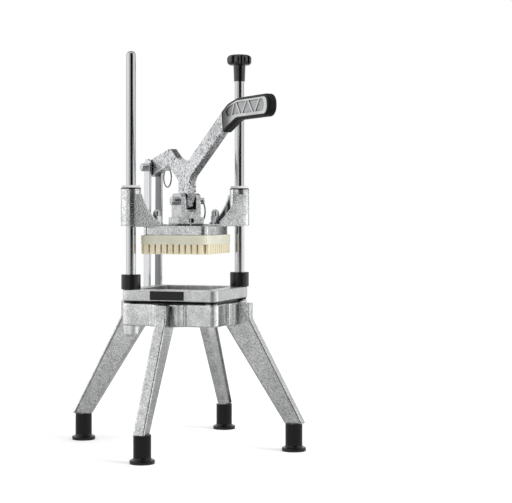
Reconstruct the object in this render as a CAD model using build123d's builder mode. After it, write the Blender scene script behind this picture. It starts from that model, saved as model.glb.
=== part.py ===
from build123d import *

import os
from math import atan2, cos, degrees, hypot, radians, sin, sqrt

os.makedirs("parts", exist_ok=True)

# The slicer stands on the floor at height 0, on four feet around the centre line.
# The two rods stand on one diagonal and the lever works in the plane of the other.

# Feet: a round post on a flared rim with a shallow cup below.
foot_reach = 138.0
foot_height = 33.0
foot_post_diameter = 20.5
foot_rim_diameter = 29.0
foot_rim_height = 4.5
foot_rim_round = 1.4
foot_waist_round = 2.4
foot_top_round = 0.9
foot_cup_diameter = 23.0
foot_cup_depth = 2.2

# Legs: a web with a wider flange along its outer edge, upright at the top, and a spigot.
leg_web_thickness = 10.5
leg_flange_width = 14.0
leg_flange_depth = 3.2
leg_flange_round = 2.1
leg_web_round = 1.8
leg_top_reach = 74.6
leg_shoulder_reach = 84.5
leg_knee_round = 14.0
leg_heel = 10.5
leg_toe = 12.6
leg_spigot_diameter = 11.0
leg_spigot_length = 18.0
leg_spigot_clearance = 0.3

# Base: an open square casting with a stepped leg socket on each side.
base_underside = 149.3
base_side = 122.0
base_height = 26.2
base_corner_round = 9.0
base_opening = 96.0
base_opening_round = 20.0
base_lip_inset = 7.0
base_lip_height = 3.4
corner_post_diameter = 17.0
base_edge_round = 1.2
pad_width = 47.4
pad_depth = 4.0
pad_edge_round = 3.4
socket_width = 32.6
socket_depth = 4.0
socket_edge_round = 1.8
socket_reach_in = 9.0
socket_clearance = 0.15

# Bolts that hold the legs, put in from inside the opening.
leg_bolt_diameter = 6.0
leg_bolt_head_diameter = 10.0
leg_bolt_head_height = 2.8
leg_bolt_grip = 15.0
leg_bolt_height_shares = (0.28, 0.72)
thread_clearance = 0.05
bolt_hole_clearance = 0.35

# Lug at the back left corner, with the long hole that the link bolt plays in.
lug_thickness = 11.5
lug_root = 74.0
lug_wall = 7.0
lug_end_round = 9.0
lug_hole_play_in = 13.0
lug_hole_play_up = 0.7
lug_hole_play_down = 4.8
lug_hole_clearance = 0.4

# Blade frame: the square cartridge that carries two crossed rows of blades.
frame_height = 13.7
frame_opening_side = 90.0
frame_opening_round = 8.0
frame_edge_bevel = 0.8
blade_count = 11
blade_spacing = 7.76
blade_thickness = 0.6
blade_height = 3.6
blade_floor = 1.0
blade_layer_gap = 0.2
blade_anchor = 4.0
blade_pocket_margin = 2.0
frame_screw_diameter = 4.0
frame_screw_head_diameter = 7.0
frame_screw_head_height = 2.4
frame_screw_length = 9.0
frame_screw_slot_width = 1.0
frame_screw_slot_depth = 1.0
frame_screw_head_clearance = 0.3
label_width = 42.8
label_height = 10.7
label_thickness = 0.8
label_shift = -1.1

# Rods, the nut under the base, and the bumper collars on the cartridge.
rod_reach = 72.55
rod_diameter = 12.0
rod_fit = 0.05
rod_hole_clearance = 0.5
guide_rod_height = 478.8
guide_rod_end_round = 4.6
rod_nut_diameter = 18.4
rod_nut_height = 11.8
rod_nut_round = 1.8
rod_stub = 1.8
collar_diameter = 23.6
collar_height = 17.7
collar_round = 0.8
collar_fit = 0.1

# Knob of the lock rod: a lobed disc on a tapered neck.
knob_height = 481.0
knob_disc_height = 13.0
knob_disc_diameter = 31.0
knob_lobe_count = 9
knob_lobe_diameter = 8.4
knob_core_diameter = 26.0
knob_rim_round = 5.4
knob_rim_limit_share = 0.49
knob_neck_height = 20.0
knob_neck_diameter = 13.7
knob_shoulder_diameter = 15.1
knob_stud_diameter = 8.0
knob_stud_length = 26.0

# Pusher block and its fastenings.
pusher_lift = 42.0
pusher_side = 87.0
pusher_corner_round = 6.0
pusher_height = 22.6
finger_length = 11.8
finger_gap = 2.2
stud_reach = 39.0
stud_diameter = 6.0
stud_anchor = 8.0
stud_hole_clearance = 0.4
washer_diameter = 15.0
washer_thickness = 2.0
cap_nut_flats = 10.4
cap_nut_hex_height = 7.6
cap_nut_dome_diameter = 9.6
cap_nut_dome_height = 8.4
cap_nut_dome_round = 4.4
cap_nut_bore_depth = 11.0

# Head casting: the plate over the pusher, two channelled arms and two bosses.
plate_side = 82.6
plate_corner_round = 8.0
plate_thickness = 11.3
plate_edge_round = 1.0
arm_floor = 2.0
arm_web_thickness = 4.2
arm_tip_reach = 40.0
arm_tip_height = 2.6
arm_top_drop = 7.6
arm_top_inset = 9.3
arm_shoulder_round = 2.0
arm_curve_depth = 3.8
boss_diameter = 24.5
boss_height = 46.1
boss_edge_round = 1.2
bush_wall = 2.0
bush_flange_diameter = 22.0
bush_flange_height = 2.8
bush_flange_round = 0.7
bush_seat_clearance = 0.05

# Clevis on the head: a plate with two ears that hold the lever's tongue.
clevis_plate_width = 34.0
clevis_plate_length = 30.0
clevis_plate_height = 8.4
clevis_pin_height = 28.2
clevis_slot_height = 15.0
ear_gap = 13.4
ear_thickness = 6.3
ear_width = 30.0
ear_crown = 9.4
ear_crown_round = 8.0
clevis_notch_width = 7.0
clevis_notch_height = 5.0
clevis_notch_depth = 4.0
clevis_screw_diameter = 6.0
clevis_screw_head_diameter = 10.0
clevis_screw_head_height = 4.0
clevis_screw_reach = 9.5
clevis_screw_bite = 9.0
screw_head_clearance = 0.3

# Hinge pins and their pull rings.
pin_diameter = 8.0
pin_fit = 0.05
pin_head_diameter = 10.2
pin_head_length = 7.6
pin_head_round = 1.4
pin_end = 3.4
clevis_ring_reach = 19.8
rear_ring_reach = 19.6
ring_diameter = 25.0
ring_wire_diameter = 1.9
ring_hole_diameter = 3.8
ring_sag = 0.1

# Lever: outline from the clevis pin, along the lever and up, with corner radii.
lever_thickness = 10.0
lever_edge_round = 1.3
rear_pin_back = 104.5
rear_pin_rise = 43.7
lever_outline = (
    (-115.0, 51.3, 7.0),
    (-41.0, 66.0, 8.0),
    (-20.0, 53.3, 40.0),
    (11.5, 46.2, 10.0),
    (111.1, 101.9, 0.0),
    (114.45, 80.3, 0.0),
    (21.5, 28.0, 8.0),
    (18.8, 9.3, 6.0),
    (9.0, -10.5, 8.0),
    (-11.5, -11.0, 10.0),
    (-13.4, 14.0, 3.0),
    (-12.9, 24.5, 4.0),
    (-43.5, 43.6, 6.0),
    (-115.0, 30.2, 7.0),
)
tang_outline = (
    (105.0, 93.0),
    (114.0, 97.5),
    (152.0, 106.0),
    (178.0, 106.0),
    (178.0, 99.0),
    (153.0, 97.5),
    (117.0, 86.5),
    (105.0, 81.0),
)
tang_thickness = 5.0
tang_clearance = 0.15

# Grip: the soft black handle over the tang, with a ribbed inlay on each side.
grip_thickness = 11.0
grip_edge_round = 2.6
grip_outline = (
    (111.0, 102.6, 4.0),
    (128.0, 111.2, 30.0),
    (153.0, 116.0, 50.0),
    (232.5, 116.0, 11.5),
    (232.5, 91.0, 11.5),
    (151.5, 91.0, 35.0),
    (115.0, 76.8, 4.5),
)
inlay_outline = (
    (117.5, 101.9, 3.0),
    (128.8, 107.6, 25.0),
    (153.0, 112.9, 45.0),
    (229.0, 112.9, 8.0),
    (229.0, 94.1, 8.0),
    (151.5, 94.1, 32.0),
    (119.5, 81.6, 2.5),
)
pocket_outline = (
    (123.5, 102.0, 2.5),
    (133.0, 107.0, 15.0),
    (153.0, 110.9, 40.0),
    (222.5, 110.9, 6.5),
    (222.5, 97.4, 6.5),
    (150.0, 97.4, 20.0),
    (131.5, 95.6, 2.5),
)
rib_line = (
    (139.5, 93.5),
    (149.5, 114.0),
    (165.0, 94.0),
    (180.5, 114.0),
    (197.0, 94.0),
    (212.5, 114.0),
)
rib_width = 2.3
pocket_depth = 1.1
inlay_thickness = 1.8
inlay_seat = 1.3
inlay_clearance = 0.12

# Links: two flat bars from the lever's rear pin down to the lug.
link_width = 18.0
link_thickness = 3.4
link_gap = 12.7
link_foot_back = 107.0
link_foot_rise = 13.7
link_edge_round = 0.6
link_top_overhang = 2.0
link_bolt_head_flats = 13.0
link_bolt_head_height = 5.3
link_nut_height = 6.5
link_bolt_stub = 2.0
nut_corner_bevel = 0.9

# An edge or face is picked by its middle and by how far it faces one way.
middle_share = 0.5
facing_share = 0.5
along_share = 0.999

# All cuts run past the faces they leave by this much.
cut_overrun = 5.0

# Heights and positions that follow from the sizes above.
root_two = sqrt(2)
side_angles = {"front": -90, "right": 0, "back": 90, "left": 180}
side_count = len(side_angles)
base_top = base_underside + base_height
link_foot_height = base_underside + link_foot_rise
frame_bottom = base_top + base_lip_height
frame_top = frame_bottom + frame_height
lower_blade_bottom = frame_bottom + blade_floor
upper_blade_bottom = lower_blade_bottom + blade_height + blade_layer_gap
blade_span = frame_opening_side + 2 * blade_anchor
blade_pocket_width = (blade_count - 1) * blade_spacing + 2 * blade_pocket_margin
pusher_bottom = frame_top + pusher_lift
pusher_top = pusher_bottom + pusher_height
plate_top = pusher_top + plate_thickness
arm_floor_top = plate_top + arm_floor
boss_top = plate_top + boss_height
clevis_pin_z = arm_floor_top + clevis_pin_height
clevis_slot_z = arm_floor_top + clevis_slot_height
ear_outer = ear_gap / 2 + ear_thickness
rear_pin_z = clevis_pin_z + rear_pin_rise
link_outer = link_gap / 2 + link_thickness
socket_face = base_side / 2 + pad_depth + socket_depth
socket_back = base_side / 2 - socket_reach_in
bolt_heights = [base_underside + base_height * share for share in leg_bolt_height_shares]
guide_rod_spot = (-rod_reach / root_two, -rod_reach / root_two)
lock_rod_spot = (rod_reach / root_two, rod_reach / root_two)
rod_spots = (guide_rod_spot, lock_rod_spot)
screw_spots = (
    (rod_reach / root_two, -rod_reach / root_two),
    (-rod_reach / root_two, rod_reach / root_two),
)
stud_spots = (
    (-stud_reach / root_two, -stud_reach / root_two),
    (stud_reach / root_two, stud_reach / root_two),
)
clevis_screw_spots = (
    (clevis_screw_reach / root_two, -clevis_screw_reach / root_two),
    (-clevis_screw_reach / root_two, clevis_screw_reach / root_two),
)
knob_bottom = knob_height - knob_disc_height - knob_neck_height
bush_diameter = rod_diameter + 2 * rod_fit + 2 * bush_wall
link_length = hypot(link_foot_back - rear_pin_back, rear_pin_z - link_foot_height)
link_lean = degrees(atan2(rear_pin_z - link_foot_height, link_foot_back - rear_pin_back))
link_up = (cos(radians(link_lean)), sin(radians(link_lean)))
link_middle = (
    -(link_foot_back + rear_pin_back) / 2 + link_up[0] * link_top_overhang / 2,
    (link_foot_height + rear_pin_z) / 2 + link_up[1] * link_top_overhang / 2,
)
lug_hole_length = pin_diameter + lug_hole_play_in + 2 * lug_hole_clearance
lug_hole_height = pin_diameter + lug_hole_play_up + lug_hole_play_down + 2 * lug_hole_clearance
lug_hole_round = pin_diameter / 2
lug_hole_middle = (
    -link_foot_back + lug_hole_play_in / 2,
    link_foot_height + (lug_hole_play_up - lug_hole_play_down) / 2,
)
lug_reach = link_foot_back + pin_diameter / 2 + lug_hole_clearance + lug_wall
diagonal_angle = 45


def level(height):
    """Flat plane at a height above the floor."""
    return Plane(origin=(0, 0, height))


def lever_side(shift):
    """Upright plane along the lever; extruding from it runs towards the guide rod."""
    return Plane(origin=(shift / root_two, shift / root_two, 0), x_dir=(1, -1, 0), z_dir=(-1, -1, 0))


def arm_side(shift):
    """Upright plane along the arms; extruding from it runs towards the handle."""
    return Plane(origin=(shift / root_two, -shift / root_two, 0), x_dir=(1, 1, 0), z_dir=(1, -1, 0))


def leg_side(angle):
    """Upright plane through one leg, with its first axis outwards."""
    turn = radians(angle)
    return Plane(origin=(0, 0, 0), x_dir=(cos(turn), sin(turn), 0), z_dir=(sin(turn), -cos(turn), 0))


def side_face(angle, reach):
    """Upright plane facing outwards on one side, at a distance from the centre."""
    turn = radians(angle)
    out = Vector(cos(turn), sin(turn), 0)
    return Plane(origin=out * reach, x_dir=(-sin(turn), cos(turn), 0), z_dir=out)


def raised(outline):
    """Corner points of an outline that is counted from the clevis pin."""
    return [(corner[0], corner[1] + clevis_pin_z) for corner in outline]


def corner_rounds(outline):
    """Corner radii of an outline."""
    return [corner[2] for corner in outline]


# Feet
for side, angle in side_angles.items():
    turn = radians(angle)
    foot_axis = Axis((foot_reach * cos(turn), foot_reach * sin(turn), 0), (0, 0, 1))
    foot_bore = leg_spigot_diameter / 2 + leg_spigot_clearance
    foot_bore_bottom = foot_height - leg_spigot_length - leg_spigot_clearance
    foot_rings = (
        (0, foot_cup_depth, 0),
        (foot_cup_diameter / 2, 0, 0),
        (foot_rim_diameter / 2, 0, 0),
        (foot_rim_diameter / 2, foot_rim_height, foot_rim_round),
        (foot_post_diameter / 2, foot_rim_height, foot_waist_round),
        (foot_post_diameter / 2, foot_height, foot_top_round),
        (foot_bore, foot_height, 0),
        (foot_bore, foot_bore_bottom, 0),
        (0, foot_bore_bottom, 0),
    )
    with BuildPart() as foot:
        with BuildSketch(leg_side(angle)):
            with BuildLine():
                FilletPolyline(
                    *[(foot_reach + ring[0], ring[1]) for ring in foot_rings],
                    radius=[ring[2] for ring in foot_rings],
                    close=True,
                )
            make_face()
        revolve(axis=foot_axis)
    foot.part.label = f"foot_{side}"
    export_step(foot.part, f"parts/foot_{side}.step")

# Legs
leg_toe_reach = foot_reach + leg_toe
leg_heel_reach = foot_reach - leg_heel
leg_run = leg_toe_reach - leg_top_reach
leg_drop = base_top - foot_height
knee_height = foot_height + leg_drop * (leg_toe_reach - leg_shoulder_reach) / leg_run
for side, angle in side_angles.items():
    turn = radians(angle)
    outwards = Vector(cos(turn), sin(turn), 0)
    sideways = Vector(-sin(turn), cos(turn), 0)
    with BuildPart() as leg:
        with BuildSketch(leg_side(angle)):
            with BuildLine():
                FilletPolyline(
                    (leg_top_reach - leg_flange_depth, base_top),
                    (leg_shoulder_reach, base_top),
                    (leg_shoulder_reach, knee_height),
                    (leg_toe_reach, foot_height),
                    (leg_toe_reach - leg_flange_depth, foot_height),
                    radius=[0, 0, leg_knee_round, 0, 0],
                    close=True,
                )
            make_face()
        extrude(amount=leg_flange_width / 2, both=True)
        outer_faces = leg.faces().filter_by(
            lambda face: face.normal_at(face.center()).dot(outwards) > facing_share
        )
        long_edges = outer_faces.edges().filter_by(
            lambda edge: abs(edge.tangent_at(middle_share).dot(sideways)) < facing_share
        )
        fillet(long_edges, leg_flange_round)
        with BuildSketch(leg_side(angle)):
            with BuildLine():
                Polyline(
                    (socket_back, base_top),
                    (leg_top_reach - leg_flange_depth, base_top),
                    (leg_toe_reach - leg_flange_depth, foot_height),
                    (leg_heel_reach, foot_height),
                    (socket_back, base_underside),
                    close=True,
                )
            make_face()
        extrude(amount=leg_web_thickness / 2, both=True)
        heel_line = outwards * (leg_heel_reach - socket_back) + Vector(0, 0, foot_height - base_underside)
        heel_edges = leg.edges().filter_by(
            lambda edge: abs(edge.tangent_at(middle_share).dot(heel_line.normalized())) > along_share
        )
        fillet(heel_edges, leg_web_round)
        with BuildSketch(level(foot_height)):
            with Locations((foot_reach * cos(turn), foot_reach * sin(turn))):
                Circle(leg_spigot_diameter / 2)
        extrude(amount=-leg_spigot_length)
        with BuildSketch(side_face(angle, socket_back)):
            with Locations(*[(0, height) for height in bolt_heights]):
                Circle(leg_bolt_diameter / 2 + thread_clearance)
        extrude(amount=leg_bolt_grip, mode=Mode.SUBTRACT)
    leg.part.label = f"leg_{side}"
    export_step(leg.part, f"parts/leg_{side}.step")

# Leg bolts
with BuildPart() as leg_bolts:
    for angle in side_angles.values():
        with BuildSketch(side_face(angle, base_opening / 2)):
            with Locations(*[(0, height) for height in bolt_heights]):
                Circle(leg_bolt_diameter / 2)
        extrude(amount=socket_back - base_opening / 2 + leg_bolt_grip - thread_clearance)
        with BuildSketch(side_face(angle, base_opening / 2)):
            with Locations(*[(0, height) for height in bolt_heights]):
                RegularPolygon(leg_bolt_head_diameter / 2, 6, major_radius=False)
        extrude(amount=-leg_bolt_head_height)
leg_bolts.part.label = "leg_bolts"
export_step(leg_bolts.part, "parts/leg_bolts.step")

# Base casting
with BuildPart() as base_casting:
    with BuildSketch(level(base_underside)):
        RectangleRounded(base_side, base_side, base_corner_round)
        Rectangle(pad_width, base_side + 2 * pad_depth)
        Rectangle(base_side + 2 * pad_depth, pad_width)
        Rectangle(socket_width, 2 * socket_face)
        Rectangle(2 * socket_face, socket_width)
    extrude(amount=base_height)
    upright = base_casting.edges().filter_by(Axis.Z)
    beyond_side = base_side / 2 + pad_depth / 2
    step_edges = upright.filter_by(
        lambda edge: max(abs(edge.center().X), abs(edge.center().Y)) > beyond_side
    )
    beyond_pad = socket_width / 2 + pad_depth / 2
    pad_edges = step_edges.filter_by(
        lambda edge: min(abs(edge.center().X), abs(edge.center().Y)) > beyond_pad
    )
    fillet(step_edges - pad_edges, socket_edge_round)
    fillet(pad_edges, pad_edge_round)
    outline_edges = base_casting.edges().group_by(Axis.Z)
    fillet(outline_edges[0] + outline_edges[-1], base_edge_round)
    with BuildSketch(level(base_top)):
        RectangleRounded(base_side - 2 * base_lip_inset, base_side - 2 * base_lip_inset, base_corner_round)
        with Locations(*rod_spots, *screw_spots):
            Circle(corner_post_diameter / 2)
    extrude(amount=base_lip_height)
    with BuildSketch(lever_side(lug_thickness / 2)):
        with BuildLine():
            FilletPolyline(
                (-lug_root, base_underside),
                (-lug_root, base_top),
                (-lug_reach, base_top),
                (-lug_reach, base_underside),
                radius=[0, 0, lug_end_round, lug_end_round],
                close=True,
            )
        make_face()
    extrude(amount=lug_thickness)
    with BuildSketch(level(base_underside)):
        RectangleRounded(base_opening, base_opening, base_opening_round)
    extrude(amount=base_height + base_lip_height, mode=Mode.SUBTRACT)
    slot_length = socket_face - socket_back + cut_overrun
    with BuildSketch(level(base_underside)):
        with PolarLocations(socket_back + slot_length / 2, side_count):
            Rectangle(slot_length, leg_web_thickness + 2 * socket_clearance)
    extrude(amount=base_height, mode=Mode.SUBTRACT)
    for angle in side_angles.values():
        with BuildSketch(side_face(angle, base_opening / 2 - cut_overrun)):
            with Locations(*[(0, height) for height in bolt_heights]):
                Circle(leg_bolt_diameter / 2 + bolt_hole_clearance)
        extrude(amount=socket_back - base_opening / 2 + 2 * cut_overrun, mode=Mode.SUBTRACT)
    with BuildSketch(level(base_underside)):
        with Locations(*rod_spots):
            Circle(rod_diameter / 2 + rod_fit)
    extrude(amount=base_height + base_lip_height, mode=Mode.SUBTRACT)
    with BuildSketch(lever_side(lug_thickness / 2)):
        with Locations(lug_hole_middle):
            RectangleRounded(lug_hole_length, lug_hole_height, lug_hole_round)
    extrude(amount=lug_thickness, mode=Mode.SUBTRACT)
base_casting.part.label = "base_casting"
export_step(base_casting.part, "parts/base_casting.step")

# Blade frame
screw_seat = frame_screw_head_diameter / 2 + frame_screw_head_clearance
with BuildPart() as blade_frame:
    with BuildSketch(level(frame_bottom)):
        RectangleRounded(base_side, base_side, base_corner_round)
        RectangleRounded(frame_opening_side, frame_opening_side, frame_opening_round, mode=Mode.SUBTRACT)
    extrude(amount=frame_height)
    rims = blade_frame.faces().sort_by(Axis.Z)
    chamfer(rims[-1].outer_wire().edges() + rims[0].outer_wire().edges(), frame_edge_bevel)
    with BuildSketch(level(frame_bottom)):
        with Locations(*rod_spots):
            Circle(rod_diameter / 2 + rod_hole_clearance)
    extrude(amount=frame_height, mode=Mode.SUBTRACT)
    with BuildSketch(level(frame_top)):
        with Locations(*screw_spots):
            Circle(screw_seat)
    extrude(amount=-frame_screw_head_height, mode=Mode.SUBTRACT)
    with BuildSketch(level(frame_top)):
        with Locations(*screw_spots):
            Circle(frame_screw_diameter / 2 + thread_clearance)
    extrude(amount=-frame_screw_length - thread_clearance, mode=Mode.SUBTRACT)
    with BuildSketch(level(lower_blade_bottom)):
        Rectangle(blade_pocket_width, blade_span)
    extrude(amount=blade_height + blade_layer_gap, mode=Mode.SUBTRACT)
    with BuildSketch(level(upper_blade_bottom)):
        Rectangle(blade_span, blade_pocket_width)
    extrude(amount=blade_height + blade_layer_gap, mode=Mode.SUBTRACT)
blade_frame.part.label = "blade_frame"
export_step(blade_frame.part, "parts/blade_frame.step")

# Blades
with BuildPart() as blades_lower:
    with BuildSketch(level(lower_blade_bottom)):
        with GridLocations(blade_spacing, 0, blade_count, 1):
            Rectangle(blade_thickness, blade_span)
    extrude(amount=blade_height)
blades_lower.part.label = "blades_lower"
export_step(blades_lower.part, "parts/blades_lower.step")

with BuildPart() as blades_upper:
    with BuildSketch(level(upper_blade_bottom)):
        with GridLocations(0, blade_spacing, 1, blade_count):
            Rectangle(blade_span, blade_thickness)
    extrude(amount=blade_height)
blades_upper.part.label = "blades_upper"
export_step(blades_upper.part, "parts/blades_upper.step")

# Frame screws
with BuildPart() as frame_screws:
    with BuildSketch(level(frame_top)):
        with Locations(*screw_spots):
            Circle(frame_screw_diameter / 2)
    extrude(amount=-frame_screw_length)
    with BuildSketch(level(frame_top)):
        with Locations(*screw_spots):
            Circle(frame_screw_head_diameter / 2)
    extrude(amount=-frame_screw_head_height)
    with BuildSketch(level(frame_top)):
        with Locations(*screw_spots):
            slot_length = frame_screw_head_diameter + cut_overrun
            Rectangle(slot_length, frame_screw_slot_width, rotation=diagonal_angle)
    extrude(amount=-frame_screw_slot_depth, mode=Mode.SUBTRACT)
frame_screws.part.label = "frame_screws"
export_step(frame_screws.part, "parts/frame_screws.step")

# Label plate, bare
with BuildPart() as label_plate:
    with BuildSketch(side_face(side_angles["front"], base_side / 2)):
        with Locations((label_shift, frame_bottom + frame_height / 2)):
            Rectangle(label_width, label_height)
    extrude(amount=label_thickness)
label_plate.part.label = "label_plate"
export_step(label_plate.part, "parts/label_plate.step")

# Guide rod and its nut
rod_foot = base_underside - rod_nut_height - rod_stub
with BuildPart() as guide_rod:
    with BuildSketch(level(rod_foot)):
        with Locations(guide_rod_spot):
            Circle(rod_diameter / 2)
    extrude(amount=guide_rod_height - rod_foot)
    fillet(guide_rod.edges().sort_by(Axis.Z)[-1], guide_rod_end_round)
guide_rod.part.label = "guide_rod"
export_step(guide_rod.part, "parts/guide_rod.step")

with BuildPart() as guide_rod_nut:
    with BuildSketch(level(base_underside)):
        with Locations(guide_rod_spot):
            Circle(rod_nut_diameter / 2)
            Circle(rod_diameter / 2 + thread_clearance, mode=Mode.SUBTRACT)
    extrude(amount=-rod_nut_height)
    fillet(guide_rod_nut.faces().sort_by(Axis.Z)[0].outer_wire().edges(), rod_nut_round)
guide_rod_nut.part.label = "guide_rod_nut"
export_step(guide_rod_nut.part, "parts/guide_rod_nut.step")

# Bumper collars
for collar_name, spot in (("collar_left", guide_rod_spot), ("collar_right", lock_rod_spot)):
    with BuildPart() as collar:
        with BuildSketch(level(frame_top)):
            with Locations(spot):
                Circle(collar_diameter / 2)
        extrude(amount=collar_height)
        fillet(collar.edges().sort_by(Axis.Z)[-1], collar_round)
        with BuildSketch(level(frame_top)):
            with Locations(spot):
                Circle(rod_diameter / 2 + collar_fit)
        extrude(amount=collar_height, mode=Mode.SUBTRACT)
    collar.part.label = collar_name
    export_step(collar.part, f"parts/{collar_name}.step")

# Lock rod and its knob
with BuildPart() as lock_rod:
    with BuildSketch(level(base_underside)):
        with Locations(lock_rod_spot):
            Circle(rod_diameter / 2)
    extrude(amount=knob_bottom - base_underside)
    with BuildSketch(level(knob_bottom)):
        with Locations(lock_rod_spot):
            Circle(knob_stud_diameter / 2)
    extrude(amount=knob_stud_length)
lock_rod.part.label = "lock_rod"
export_step(lock_rod.part, "parts/lock_rod.step")

knob_rim = min(knob_rim_round, knob_disc_height * knob_rim_limit_share)
with BuildPart() as knob_disc:
    with BuildSketch(Plane.XZ):
        with BuildLine():
            FilletPolyline(
                (0, 0),
                (knob_disc_diameter / 2, 0),
                (knob_disc_diameter / 2, knob_disc_height),
                (0, knob_disc_height),
                radius=[0, knob_rim, knob_rim, 0],
                close=True,
            )
        make_face()
    revolve(axis=Axis.Z)
    with BuildSketch():
        Circle(knob_core_diameter / 2)
        with PolarLocations(knob_disc_diameter / 2 - knob_lobe_diameter / 2, knob_lobe_count):
            Circle(knob_lobe_diameter / 2)
    extrude(amount=knob_disc_height, mode=Mode.INTERSECT)
with BuildPart() as lock_knob:
    with Locations((*lock_rod_spot, knob_height - knob_disc_height)):
        add(knob_disc.part)
    with BuildSketch(level(knob_bottom)):
        with Locations(lock_rod_spot):
            Circle(knob_neck_diameter / 2)
    with BuildSketch(level(knob_bottom + knob_neck_height)):
        with Locations(lock_rod_spot):
            Circle(knob_shoulder_diameter / 2)
    loft()
    with BuildSketch(level(knob_bottom)):
        with Locations(lock_rod_spot):
            Circle(knob_stud_diameter / 2 + thread_clearance)
    extrude(amount=knob_stud_length + thread_clearance, mode=Mode.SUBTRACT)
lock_knob.part.label = "lock_knob"
export_step(lock_knob.part, "parts/lock_knob.step")

# Pusher block with its grid of fingers
finger_edge = (blade_count - 1) / 2 * blade_spacing - finger_gap / 2
corner_notch = pusher_side / 2 - finger_edge + cut_overrun
with BuildPart() as pusher_block:
    with BuildSketch(level(pusher_bottom)):
        RectangleRounded(pusher_side, pusher_side, pusher_corner_round)
    extrude(amount=pusher_height)
    with BuildSketch(level(pusher_bottom)):
        with GridLocations(blade_spacing, 0, blade_count, 1):
            Rectangle(finger_gap, pusher_side + cut_overrun)
        with GridLocations(0, blade_spacing, 1, blade_count):
            Rectangle(pusher_side + cut_overrun, finger_gap)
        with GridLocations(2 * finger_edge + corner_notch, 2 * finger_edge + corner_notch, 2, 2):
            Rectangle(corner_notch, corner_notch)
    extrude(amount=finger_length, mode=Mode.SUBTRACT)
    with BuildSketch(level(pusher_top)):
        with Locations(*stud_spots):
            Circle(stud_diameter / 2 + thread_clearance)
    extrude(amount=-stud_anchor, mode=Mode.SUBTRACT)
pusher_block.part.label = "pusher_block"
export_step(pusher_block.part, "parts/pusher_block.step")

# Pusher studs, washers and cap nuts
washer_top = arm_floor_top + washer_thickness
stud_top = washer_top + cap_nut_bore_depth - thread_clearance
with BuildPart() as pusher_studs:
    with BuildSketch(level(pusher_top - stud_anchor)):
        with Locations(*stud_spots):
            Circle(stud_diameter / 2)
    extrude(amount=stud_top - pusher_top + stud_anchor)
pusher_studs.part.label = "pusher_studs"
export_step(pusher_studs.part, "parts/pusher_studs.step")

with BuildPart() as pusher_washers:
    with BuildSketch(level(arm_floor_top)):
        with Locations(*stud_spots):
            Circle(washer_diameter / 2)
            Circle(stud_diameter / 2 + stud_hole_clearance, mode=Mode.SUBTRACT)
    extrude(amount=washer_thickness)
pusher_washers.part.label = "pusher_washers"
export_step(pusher_washers.part, "parts/pusher_washers.step")

with BuildPart() as cap_nuts:
    with BuildSketch(level(washer_top + cap_nut_hex_height)):
        with Locations(*stud_spots):
            Circle(cap_nut_dome_diameter / 2)
    extrude(amount=cap_nut_dome_height)
    fillet(cap_nuts.edges().group_by(Axis.Z)[-1], cap_nut_dome_round)
    with BuildSketch(level(washer_top)):
        with Locations(*stud_spots):
            RegularPolygon(cap_nut_flats / 2, 6, major_radius=False)
    extrude(amount=cap_nut_hex_height)
    with BuildSketch(level(washer_top)):
        with Locations(*stud_spots):
            Circle(stud_diameter / 2 + thread_clearance)
    extrude(amount=cap_nut_bore_depth, mode=Mode.SUBTRACT)
cap_nuts.part.label = "cap_nuts"
export_step(cap_nuts.part, "parts/cap_nuts.step")

# Head casting: each arm is a channel whose two webs sweep down from the boss in a
# hollow curve, so the top of the web leaves the boss steeply and ends flat.
arm_width = boss_diameter
arm_top = boss_top - arm_top_drop
arm_tip_top = arm_floor_top + arm_tip_height
arm_start = rod_reach - arm_top_inset
with BuildPart() as head_casting:
    with BuildSketch(level(pusher_top)):
        RectangleRounded(plate_side, plate_side, plate_corner_round)
    extrude(amount=plate_thickness)
    fillet(head_casting.faces().sort_by(Axis.Z)[-1].edges(), plate_edge_round)
    with BuildSketch(level(plate_top - plate_edge_round)):
        Rectangle(2 * rod_reach, arm_width, rotation=diagonal_angle)
    extrude(amount=arm_floor + plate_edge_round)
    for shift in (-arm_width / 2, arm_width / 2 - arm_web_thickness):
        for way in (-1, 1):
            with BuildSketch(arm_side(shift)) as arm_web:
                with BuildLine():
                    Polyline(
                        (way * arm_tip_reach, arm_tip_top),
                        (way * arm_tip_reach, plate_top),
                        (way * rod_reach, plate_top),
                        (way * rod_reach, arm_top),
                        (way * arm_start, arm_top),
                    )
                    SagittaArc(
                        (way * arm_start, arm_top),
                        (way * arm_tip_reach, arm_tip_top),
                        way * arm_curve_depth,
                    )
                make_face()
                shoulder = arm_web.vertices().sort_by_distance((way * arm_start, arm_top, 0))[0]
                fillet(shoulder, arm_shoulder_round)
            extrude(amount=arm_web_thickness)
    with BuildSketch(level(plate_top)):
        with Locations(*rod_spots):
            Circle(boss_diameter / 2)
    extrude(amount=boss_height)
    fillet(head_casting.edges().group_by(Axis.Z)[-1], boss_edge_round)
    with BuildSketch(level(plate_top - cut_overrun)):
        with Locations(*rod_spots):
            Circle(bush_diameter / 2 + bush_seat_clearance)
    extrude(amount=boss_height + 2 * cut_overrun, mode=Mode.SUBTRACT)
    with BuildSketch(level(pusher_top)):
        with Locations(*stud_spots):
            Circle(stud_diameter / 2 + stud_hole_clearance)
    extrude(amount=plate_thickness + arm_floor, mode=Mode.SUBTRACT)
    with BuildSketch(level(pusher_top)):
        with Locations(*clevis_screw_spots):
            Circle(clevis_screw_diameter / 2 + bolt_hole_clearance)
    extrude(amount=plate_thickness + arm_floor, mode=Mode.SUBTRACT)
    with BuildSketch(level(pusher_top)):
        with Locations(*clevis_screw_spots):
            Circle(clevis_screw_head_diameter / 2 + screw_head_clearance)
    extrude(amount=clevis_screw_head_height, mode=Mode.SUBTRACT)
head_casting.part.label = "head_casting"
export_step(head_casting.part, "parts/head_casting.step")

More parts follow.
